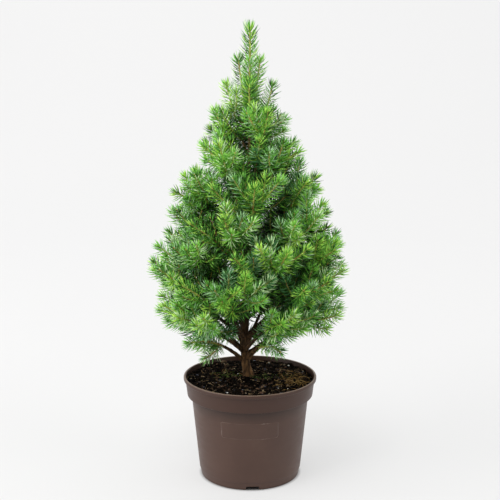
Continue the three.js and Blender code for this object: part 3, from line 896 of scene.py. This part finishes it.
def inside_profile():
    """The pot's inside, from the top of the lip down to the axis."""
    skin, collar_foot = POT.skin, POT.collar_foot - POT.skin
    lip = POT.rim - LIP_WIDTH
    r = EDGES.inside_lip
    points = arc((lip + r, POT.height - r), r, 90, 180, 5)
    points += [(lip - 0.25, LIP_LOW - 0.5)]
    points += between((lip - 0.5, LIP_LOW - 2), (collar_foot, COLLAR_LOW + skin + 0.6), np.linspace(0, 1, 6))
    points += [(collar_foot - 0.7, COLLAR_LOW + skin), (POT.wall_top - skin, COLLAR_LOW + skin - 0.4)]
    return points + [(POT.wall_foot - skin, POT.foot), (POT.base - skin, FLOOR), (0, FLOOR)]


def rings_round(profile, segments):
    """Rings of corners round the Z axis, one for each (radius, height) of a profile."""
    radii, heights = np.array(profile, float).T[:, :, None]
    angle = angles_round(segments)
    return np.stack([radii * np.cos(angle), radii * np.sin(angle), heights + 0 * angle], axis=-1)


def lathe_shape(profile, segments):
    """A profile turned round the Z axis.  It starts and ends on the axis."""
    shape = Shape()
    add_rings(shape, rings_round(profile[1:-1], segments), [0, 0, profile[0][1]], [0, 0, profile[-1][1]])
    return shape


def drain_cutter(bearing):
    """The space of one drain channel with its hole: an arched bar that runs out through the foot."""
    half, top, low = DRAIN.width / 2, DRAIN.height, CHANNEL.low
    corner = CHANNEL.corner
    section = [(-half, low), (half, low)]
    section += arc((half - corner, top - corner), corner, 0, 90, 5)
    section += arc((-half + corner, top - corner), corner, 90, 180, 5)
    turn = math.radians(bearing)
    along = np.array([math.cos(turn), math.sin(turn), 0])
    across = np.array([-math.sin(turn), math.cos(turn), 0])
    reaches = DRAIN.inner, CHANNEL.outer
    rings = [[reach * along + a * across + z * UP for a, z in section] for reach in reaches]
    sides = len(section)
    shape = Shape()
    ends = [np.arange(sides)[None, ::-1], sides + np.arange(sides)[None]]
    shape.add(np.array(rings), grid_quads(2, sides), *ends)
    middle = DRAIN.hole_at * along
    hole = np.array([middle + CHANNEL.hole_low * UP, middle + CHANNEL.hole_high * UP])
    add_tube(shape, hole, [DRAIN.hole] * 2, 24)
    return shape


def cut_by(piece, cutters):
    """The piece with the cutters' spaces taken out of its mesh."""
    for cutter in cutters:
        change = piece.modifiers.new(cutter.name, "BOOLEAN")
        change.object = cutter
        change.operation = "DIFFERENCE"
        change.solver = "EXACT"
        change.use_self = True
    graph = bpy.context.evaluated_depsgraph_get()
    made = bpy.data.meshes.new_from_object(piece.evaluated_get(graph), depsgraph=graph)
    piece.modifiers.clear()
    piece.data = made
    for cutter in cutters:
        bpy.data.objects.remove(cutter)


def make_pot(material):
    pot = lathe_shape(outside_profile() + inside_profile(), 192).piece("nursery_pot", material)
    cutters = []
    for number in range(DRAIN.count):
        bearing = DRAIN.first + 360 * number / DRAIN.count
        cutters.append(drain_cutter(bearing).piece(f"drain_{number}", material))
    cut_by(pot, cutters)
    pot.data.set_sharp_from_angle(angle=math.radians(38))
    return pot


def label_rows(low, high, corner):
    """Heights up a label with round corners, with how far its sides are drawn in at each."""
    turns = np.radians(np.linspace(0, 90, 6))
    rows = [(low + corner - corner * math.sin(a), corner - corner * math.cos(a)) for a in turns[::-1]]
    rows += [(z, 0) for z in np.linspace(low + corner, high - corner, 8)[1:-1]]
    return rows + [(high - corner + corner * math.sin(a), corner - corner * math.cos(a)) for a in turns]


def label_shape(grow, thick):
    """A film that lies round the front of the pot's wall, larger than the label all round by grow."""
    rows = label_rows(LABEL.low - grow, LABEL.high + grow, LABEL.corner + grow)
    tall, columns = len(rows), LABEL.columns
    sheets = []
    for off in (thick, -FILM.sunk):
        for z, inset in rows:
            along = np.linspace(LABEL.left - grow + inset, LABEL.right + grow - inset, columns)
            angle = along / wall_radius(LABEL.middle)
            radius = wall_radius(z) + off
            sheets.append(np.stack([radius * np.sin(angle), -radius * np.cos(angle), 0 * angle + z], axis=1))
    front = grid_quads(tall, columns, closed=False)
    place = np.arange(tall * columns).reshape(tall, columns)
    around = np.concatenate([place[0], place[1:, -1], place[-1, -2::-1], place[-2:0:-1, 0]])
    after = np.roll(around, -1)
    edge = np.stack([around, around + place.size, after + place.size, after], axis=1)
    shape = Shape()
    shape.add(np.concatenate(sheets), front, front[:, ::-1] + place.size, edge)
    return shape


# ------ soil and what lies on it


def off_trunk(x, y):
    return np.hypot(x - TRUNK.foot[0], y - TRUNK.foot[1])


def soil_height(x, y):
    """The height of the lumpy soil, which is calmer by the trunk."""
    away = off_trunk(x, y)
    level = lerp(SOIL.mound, SOIL.edge, smoothstep(away, SOIL.mound_flat, SOIL.mound_foot))
    spots = np.stack([x, y, 0 * x], axis=-1).reshape(-1, 3)
    lumps = sum(high * noise(spots, wide, key) for high, wide, key in LUMPS)
    rough = lerp(PEAT.calmest, 1, smoothstep(away, PEAT.calm_to, PEAT.rough_from))
    return level - PEAT.sunk + lumps.reshape(np.shape(x)) * rough


def soil_shape():
    """The peat: plain sides that follow the inside of the pot, and a lumpy top."""
    inward, floor = POT.skin + PEAT.clear, FLOOR + PEAT.lift
    sides = [
        (POT.base - inward, floor),
        (POT.wall_foot - inward, POT.foot + PEAT.lift),
        (POT.wall_top - inward, COLLAR_LOW + inward - PEAT.chamfer),
        (POT.collar_foot - inward - PEAT.chamfer, COLLAR_LOW + inward),
    ]
    edge = POT.collar_top - POT.skin + 0.1
    radii = edge * np.linspace(1, 0, PEAT.rings + 1)[:-1] ** PEAT.crowding
    top = rings_round([(radius, 0) for radius in radii], PEAT.segments)
    top[..., 2] = soil_height(top[..., 0], top[..., 1])
    middle = soil_height(np.zeros(1), np.zeros(1))[0]
    shape = Shape()
    rings = np.concatenate([rings_round(sides, PEAT.segments), top])
    add_rings(shape, rings, [0, 0, floor], [0, 0, middle])
    return shape


def scattered(count, key):
    """Places spread evenly over the soil, clear of the trunk."""
    number = np.arange(count)
    radius = LITTER.strewn * np.sqrt(chance(key, number, 1))
    angle = 2 * np.pi * chance(key, number, 2)
    x, y = radius * np.cos(angle), radius * np.sin(angle)
    keep = off_trunk(x, y) > LITTER.off_trunk
    return x[keep], y[keep]


def clustered(count, key, centre, reach):
    """Places that thin out from a centre."""
    number = np.arange(count)
    radius = np.sqrt(-np.log(1 - GATHER.fill * chance(key, number, 6))) * GATHER.tight
    angle = 2 * np.pi * chance(key, number, 7)
    x = centre[0] + reach[0] * radius * np.cos(angle)
    y = centre[1] + reach[1] * radius * np.sin(angle)
    keep = np.hypot(x, y) < LITTER.gathered
    return x[keep], y[keep]


def held_in(x, y):
    """Places moved in from the pot's wall where they would reach into it."""
    share = np.minimum(1, LITTER.within / np.maximum(np.hypot(x, y), 1))
    return x * share, y * share


def crumbs_shape(count, sizes, key, flat):
    """Irregular lumps that are half sunk in the soil."""
    seed = bmesh.new()
    bmesh.ops.create_icosphere(seed, subdivisions=1, radius=1)
    ball = np.array([v.co for v in seed.verts])
    faces = np.array([[v.index for v in f.verts] for f in seed.faces])
    seed.free()
    x, y = scattered(count, key)
    number = np.arange(len(x))
    size = lerp(sizes[0], sizes[1], chance(key, number, 3) ** CRUMB.small)
    jag = 1 + CRUMB.jag * spread(key, number[:, None], np.arange(len(ball))[None], 4)
    turn = 2 * np.pi * chance(key, number, 5)
    stretch = 1 + CRUMB.stretch * chance(key, number, 6)
    local = ball[None] * jag[:, :, None] * size[:, None, None]
    along, aside = local[:, :, 0] * stretch[:, None], local[:, :, 1]
    px = along * np.cos(turn)[:, None] - aside * np.sin(turn)[:, None] + x[:, None]
    py = along * np.sin(turn)[:, None] + aside * np.cos(turn)[:, None] + y[:, None]
    px, py = held_in(px, py)
    pz = local[:, :, 2] * flat + (soil_height(x, y) + CRUMB.proud * size)[:, None]
    first = len(ball) * np.arange(len(x))
    shape = Shape()
    shape.add(np.stack([px, py, pz], axis=-1), (faces[None] + first[:, None, None]).reshape(-1, 3))
    return shape


def add_fibres(shape, places, lengths, radius, key, arch):
    """Thin bent fibres that lie on the soil."""
    widths = np.array(FIBRE.widths)
    for number, (x, y) in enumerate(zip(*places)):
        long = lerp(lengths[0], lengths[1], chance(key, number, 1) ** 1.5)
        turn = 2 * math.pi * chance(key, number, 2)
        bend = FIBRE.bend * spread(key, number, 3)
        lift = arch * long * chance(key, number, 4)
        line = []
        for share in np.linspace(-0.5, 0.5, len(widths)):
            heading = turn + bend * share
            px, py = held_in(x + long * share * math.cos(heading), y + long * share * math.sin(heading))
            ground = float(soil_height(np.array([px]), np.array([py]))[0])
            line.append([px, py, ground + radius + FIBRE.off + lift * (0.25 - share * share) * 4])
        wide = radius * (FIBRE.thinnest + FIBRE.play * chance(key, number, 5))
        add_tube(shape, np.array(line), wide * widths, 5)


# ------ materials


def new_material(name, base, roughness, specular=0.5):
    material = bpy.data.materials.new(name)
    material.use_nodes = True
    shader = material.node_tree.nodes["Principled BSDF"]
    shader.inputs["Base Color"].default_value = (*base, 1)
    shader.inputs["Roughness"].default_value = roughness
    shader.inputs["Specular IOR Level"].default_value = specular
    return material, material.node_tree, shader


def add_node(tree, kind, **inputs):
    """The outputs of a new node.  Each input is a plain value or another node's output."""
    node = tree.nodes.new(f"ShaderNode{kind}")
    for name, value in inputs.items():
        socket = node.inputs[name.replace("_", " ")]
        if isinstance(value, bpy.types.NodeSocket):
            tree.links.new(value, socket)
        else:
            socket.default_value = value
    return node.outputs


def add_place(tree):
    return add_node(tree, "TexCoord")["Object"]


def add_noise(tree, scale, detail=4.0, stretch=(1, 1, 1)):
    """Noise in the object's own coordinates, scale bumps to the metre."""
    drawn = add_node(tree, "Mapping", Vector=add_place(tree), Scale=stretch)["Vector"]
    return add_node(tree, "TexNoise", Vector=drawn, Scale=scale, Detail=detail)["Fac"]


def add_ramp(tree, factor, stops):
    """Colours at places along a factor from 0 to 1."""
    ramp = tree.nodes.new("ShaderNodeValToRGB")
    elements = ramp.color_ramp.elements
    while len(elements) < len(stops):
        elements.new(0.5)
    for element, (place, colour) in zip(elements, stops):
        element.position = place
        element.color = (*colour, 1)
    tree.links.new(factor, ramp.inputs["Fac"])
    return ramp.outputs["Color"]


def add_range(tree, factor, low, high, start=0, end=1):
    """A number that runs from low to high while a factor runs from start to end."""
    limits = {"From_Min": start, "From_Max": end, "To_Min": low, "To_Max": high}
    return add_node(tree, "MapRange", Value=factor, **limits)["Result"]


def add_height(tree, low, high):
    """A factor that goes from 0 to 1 between two heights."""
    height = add_node(tree, "SeparateXYZ", Vector=add_place(tree))["Z"]
    return add_range(tree, height, 0, 1, low * MM, high * MM)


def add_mix(tree, factor, colour, other):
    """A colour that turns into another, plain one as a factor goes from 0 to 1."""
    mix = tree.nodes.new("ShaderNodeMix")
    mix.data_type = "RGBA"
    tree.links.new(factor, mix.inputs[0])
    tree.links.new(colour, mix.inputs[6])
    mix.inputs[7].default_value = (*other, 1)
    return mix.outputs[2]


def add_bump(tree, shader, height, distance, strength=1.0):
    bump = add_node(tree, "Bump", Strength=strength, Distance=distance * MM, Height=height)
    tree.links.new(bump["Normal"], shader.inputs["Normal"])


def vary(tree, shader, factor, stops, low, high):
    """Colour by stops along a factor, and roughness from low to high with the same factor."""
    tree.links.new(add_ramp(tree, factor, stops), shader.inputs["Base Color"])
    tree.links.new(add_range(tree, factor, low, high), shader.inputs["Roughness"])


def tinted(colour, factor):
    return tuple(min(1.0, part * factor) for part in colour)


def needle_material(name, base):
    """A waxy green whose small-scale variation keeps the needles from looking flat."""
    material, tree, shader = new_material(name, base, 0.45, 0.28)
    stops = [(0.3, tinted(base, 0.8)), (0.7, tinted(base, 1.2))]
    vary(tree, shader, add_noise(tree, 900), stops, 0.34, 0.52)
    return material


def bark_material():
    """Reddish brown bark with tan flakes, darkened by painted shade inside the tree, and pale on the young
    wood high up.
    """
    material, tree, shader = new_material("bark", (0.1, 0.045, 0.025), 0.9, 0.15)
    flakes = add_noise(tree, 330, 5, (1, 1, 0.35))
    stops = [
        (0.3, (0.022, 0.012, 0.006)),
        (0.48, (0.078, 0.042, 0.018)),
        (0.62, (0.17, 0.088, 0.036)),
        (0.75, (0.36, 0.22, 0.1)),
    ]
    # Painted shade: the bark darkens upwards from low in the crown, where the crown's shade falls.
    bark = add_mix(tree, add_height(tree, 122, 190), add_ramp(tree, flakes, stops), (0.02, 0.012, 0.006))
    bark = add_mix(tree, add_height(tree, 220, 320), bark, (0.42, 0.24, 0.14))
    tree.links.new(bark, shader.inputs["Base Color"])
    tree.links.new(add_range(tree, flakes, 0.95, 0.75), shader.inputs["Roughness"])
    add_bump(tree, shader, add_noise(tree, 900, 6, (1, 1, 0.3)), 0.35)
    return material


def twig_material():
    """Young stems, from tan to a yellow green."""
    material, tree, shader = new_material("young_stem", (0.5, 0.4, 0.12), 0.6, 0.25)
    stops = [(0.34, (0.4, 0.22, 0.08)), (0.46, (0.5, 0.4, 0.12)), (0.6, (0.42, 0.48, 0.12))]
    vary(tree, shader, add_noise(tree, 120), stops, 0.68, 0.5)
    add_bump(tree, shader, add_noise(tree, 1500), 0.12)
    return material


def pot_material():
    """Moulded brown plastic, satin, with a fine grain and faint rubbed patches, painted shade on the wall
    under the collar and on the collar, and a painted highlight that makes a pale line along the lip.
    """
    material, tree, shader = new_material("pot_plastic", POT_TONE["plain"], 0.42, 0.4)
    stops = [(0.35, POT_TONE["dark"]), (0.6, POT_TONE["middle"]), (0.8, POT_TONE["worn"])]
    plastic = add_ramp(tree, add_noise(tree, 26, 6), stops)
    bands = [
        # Painted shade on the wall under the collar.
        ("under_collar", COLLAR_LOW - 16, COLLAR_LOW),
        # Painted shade on the collar and all above it.
        ("collar", COLLAR_LOW - 0.5, COLLAR_LOW + 0.5),
        # Painted highlight along the top of the lip.
        ("lip", POT.height - 0.6, POT.height),
    ]
    for tone, low, high in bands:
        plastic = add_mix(tree, add_height(tree, low, high), plastic, POT_TONE[tone])
    tree.links.new(plastic, shader.inputs["Base Color"])
    rubbed = add_noise(tree, 60, 8, (1, 1, 3))
    tree.links.new(add_range(tree, rubbed, 0.34, 0.56), shader.inputs["Roughness"])
    add_bump(tree, shader, add_noise(tree, 1400, 3), 0.05, 0.6)
    return material


def film_material():
    """The label's clear film, through which the wall's brown shows, a little glossier than the wall."""
    material, tree, shader = new_material("label_film", POT_TONE["plain"], 0.36, 0.4)
    ripple = add_noise(tree, 45, 3)
    vary(tree, shader, ripple, [(0.3, (0.062, 0.031, 0.0215)), (0.7, (0.07, 0.0355, 0.025))], 0.3, 0.42)
    add_bump(tree, shader, ripple, 0.05, 0.5)
    return material


def film_edge_material():
    """The film's edge, where dust makes it paler."""
    material, tree, shader = new_material("label_edge", (0.11, 0.066, 0.05), 0.35, 0.35)
    stops = [(0.45, (0.088, 0.049, 0.037)), (0.6, (0.13, 0.085, 0.068)), (0.72, (0.34, 0.28, 0.25))]
    tree.links.new(add_ramp(tree, add_noise(tree, 120, 4), stops), shader.inputs["Base Color"])
    return material


def earth_material(name, dark, middle, light, size):
    """Peat and what lies on it, broken up between three tones."""
    material, tree, shader = new_material(name, middle, 0.95, 0.05)
    vary(tree, shader, add_noise(tree, size, 8), [(0.36, dark), (0.55, middle), (0.75, light)], 1.0, 0.72)
    add_bump(tree, shader, add_noise(tree, 1100, 6), 0.4)
    return material


def paper_material():
    """Pale paper with a light of its own, out from the pot's foot, that keeps the shadows on it pale: painted
    light, whose rise from the foot also paints a thin shadow round the pot.
    """
    material, tree, shader = new_material("paper", (0.27, 0.27, 0.271), 0.8)
    stops = [(0.3, (0.265, 0.266, 0.268)), (0.7, (0.275, 0.275, 0.276))]
    tree.links.new(add_ramp(tree, add_noise(tree, 0.6, 1), stops), shader.inputs["Base Color"])
    away = tree.nodes.new("ShaderNodeVectorMath")
    away.operation = "LENGTH"
    tree.links.new(add_place(tree), away.inputs[0])
    start, end = (PAPER_GLOW[name] * POT.base * MM for name in ("from", "to"))
    # Painted light: the paper glows, from none just inside the pot's foot to full a little outside it, which
    # paints a thin shadow round the foot.
    glow = add_range(tree, away.outputs["Value"], 0, PAPER_GLOW["strength"], start, end)
    tree.links.new(glow, shader.inputs["Emission Strength"])
    shader.inputs["Emission Color"].default_value = (1, 1, 1, 1)
    return material


# ------ stage, light and camera


def make_stage():
    """A pale floor that sweeps up into a backdrop."""
    flat_end, radius = SWEEP.back - SWEEP.radius, SWEEP.radius
    line = [(SWEEP.front, 0), (flat_end, 0)]
    line += arc((flat_end, radius), radius, -87, 0, 30)
    line += [(SWEEP.back, SWEEP.top)]
    points = [[x, y, z] for y, z in line for x in (-SWEEP.half, SWEEP.half)]
    shape = Shape()
    shape.add(points, grid_quads(len(line), 2, closed=False))
    floor = shape.piece("paper_sweep", paper_material())


def add_light(name, at, toward, size, energy, colour):
    light = bpy.data.lights.new(name, "AREA")
    light.shape = "RECTANGLE"
    light.size, light.size_y = size
    light.energy = energy
    light.color = colour
    lamp = bpy.data.objects.new(name, light)
    lamp.location = at
    aim = np.array(toward) - np.array(at)
    flat = math.hypot(aim[0], aim[1])
    lamp.rotation_euler = (math.atan2(flat, -aim[2]), 0, math.atan2(-aim[0], aim[1]))
    bpy.context.scene.collection.objects.link(lamp)


def make_light():
    world = bpy.data.worlds.new("studio")
    world.use_nodes = True
    background = world.node_tree.nodes["Background"]
    background.inputs["Color"].default_value = (1, 1, 1, 1)
    background.inputs["Strength"].default_value = WORLD_LIGHT
    bpy.context.scene.world = world
    bpy.context.scene.view_settings.view_transform = "Standard"
    for name, light in LIGHTS.items():
        add_light(name, *light)


def make_camera():
    data = bpy.data.cameras.new("camera")
    data.lens = CAMERA.lens
    data.sensor_width = CAMERA.sensor
    data.clip_start, data.clip_end = CAMERA.near, CAMERA.far
    camera = bpy.data.objects.new("camera", data)
    camera.location = CAMERA.at
    camera.rotation_euler = (math.radians(90 + CAMERA.pitch), 0, 0)
    bpy.context.scene.collection.objects.link(camera)
    bpy.context.scene.camera = camera


# ------ the pieces


def fit(piece, slot, *nodes):
    """The piece rides on the part's one body, in place of the named nodes; the slot is not used."""
    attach(piece, "root")
    if nodes:
        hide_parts(*nodes)


def dress_pot():
    fit(make_pot(pot_material()), "pot_plastic", "pot")
    edge = label_shape(FILM.edge, FILM.edge_thick)
    fit(edge.piece("label_edge", film_edge_material()), "pot_plastic")
    fit(label_shape(0, FILM.thick).piece("label_film", film_material()), "pot_plastic")


def dress_soil():
    earths = {name: earth_material(name, *tones) for name, tones in EARTHS.items()}
    fit(soil_shape().piece("peat", earths["peat"]), "potting_soil", "soil")
    for name, (earth, *crumbs) in CRUMBS.items():
        fit(crumbs_shape(*crumbs).piece(name, earths[earth], smooth=False), "potting_soil")
    for name, (earth, patches) in FIBRES.items():
        shape = Shape()
        for count, key, centre, reach, lengths, radius, arch in patches:
            places = clustered(count, key, centre, reach) if centre else scattered(count, key)
            add_fibres(shape, places, lengths, radius, key + 1, arch)
        fit(shape.piece(name, earths[earth]), "potting_soil")


def dress_boughs(masses, bark):
    """The bare stretches of the main boughs, which run on a little way into the foliage."""
    shape, names = Shape(), []
    for level, index, growth in masses:
        tier = TIERS[level]
        if tier.bare:
            names.append(f"{tier.name}_bough_{index + 1}")
            thinnest = lerp(BOUGH.radius, BOUGH.tip_radius, 1 / tier.bare)
            bough = Growth(growth[0].path_at, 0, radii=(BOUGH.radius, thinnest))
            add_wood(shape, bough, tier.bare, BOUGH_WOOD)
    fit(shape.piece("bough_bark", bark), "bark", *names)


def dress_stems(shoots, bark):
    """The stems of all shoots and twigs, woody as far as the last years' growth and young from there."""
    woody, young = Shape(), Shape()
    for growth in shoots:
        since = max(growth.start, 1 - YOUNG.back / growth.length)
        if since > growth.start + 2 * STEM_WOOD.overlap:
            add_wood(woody, growth, since, STEM_WOOD)
        if growth.length * (1 - growth.start) > YOUNG.shortest:
            add_young(young, growth, since)
    fit(woody.piece("stem_bark", bark), "bark")
    fit(young.piece("young_stems", twig_material()), "bark")


def dress_needles(shoots, mass_names):
    groups = {name: [] for name in GREENS}
    for growth in shoots:
        add_needles(groups, growth)
    for name, parts in groups.items():
        material = needle_material(f"needle_{name}", GREENS[name])
        fit(needle_shape(parts).piece(f"needles_{name}", material), "foliage", *mass_names)


def dress_tree():
    bark = bark_material()
    fit(trunk_shape().piece("trunk_bark", bark), "bark", "trunk")
    sectors = [(level, index) for level, tier in enumerate(TIERS) for index in range(tier.count)]
    masses = [(level, index, mass_growth(level, index)) for level, index in sectors]
    dress_boughs(masses, bark)
    shoots = [leader_growth().grown(LEADER.onward)]
    for level, _, growth in masses:
        onward = ONWARD if level else 0
        shoots += [shoot.grown(onward) for shoot in growth if not in_window(shoot.tip)]
    shoots += twig_growth(shoots)
    dress_stems(shoots, bark)
    mass_names = [f"{TIERS[level].name}_mass_{index + 1}" for level, index in sectors]
    dress_needles(shoots, ["leader_mass", *mass_names])


make_camera()
make_light()
make_stage()
dress_pot()
dress_soil()
dress_tree()
